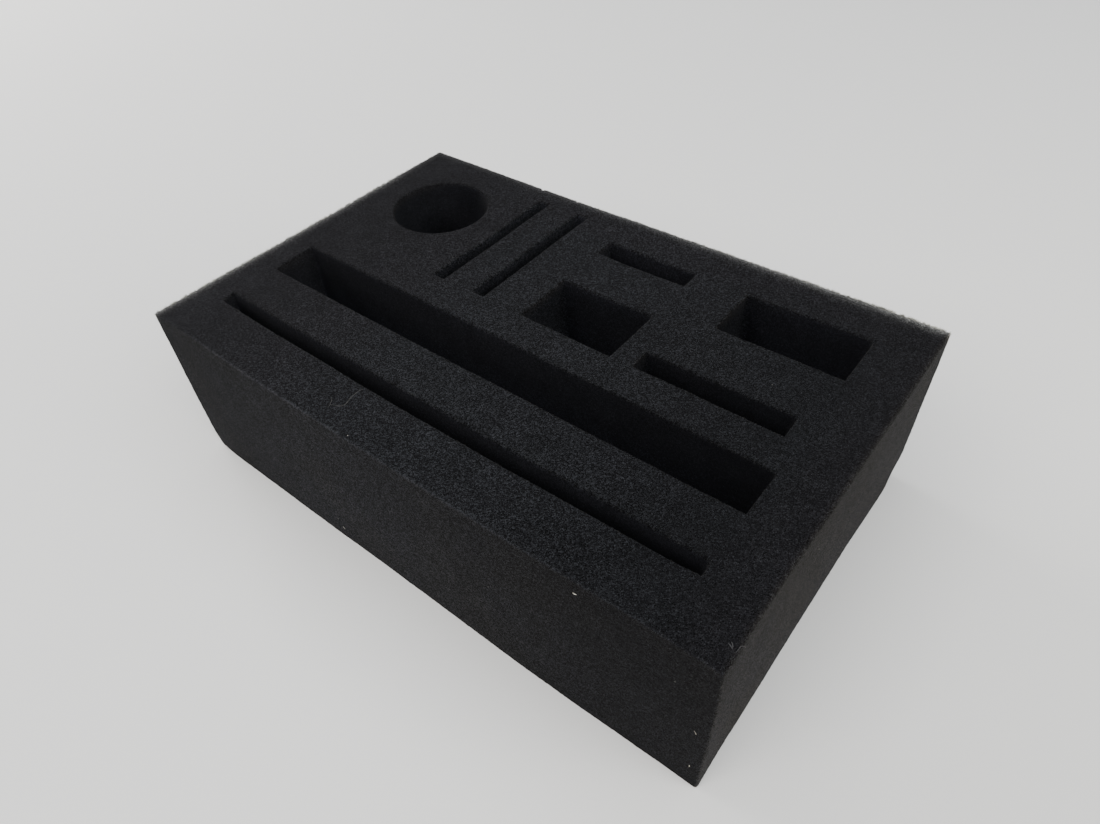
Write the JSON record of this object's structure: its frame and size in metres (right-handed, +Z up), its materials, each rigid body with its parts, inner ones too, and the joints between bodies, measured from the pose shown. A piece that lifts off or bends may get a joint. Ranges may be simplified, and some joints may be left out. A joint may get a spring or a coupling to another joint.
{
  "type": "foam insert block",
  "caption": "Rectangular block of soft black foam with long slots, short slots, rectangular pockets and a round pocket cut down from its top to hold tools and small parts.",
  "frame": {"origin": "middle of the base, on the surface that the block stands on", "axes": "+X along the length to the right, +Y to the back, towards the row of pockets furthest from the long slots, +Z up, out of the pockets"},
  "size_m": [0.3, 0.192, 0.09],
  "materials": {
    "foam": "open-cell foam, matt, with a fine grain of cut cells"
  },
  "bodies": {
    "root": {"foam_block": "foam"}
  },
  "joints": []
}
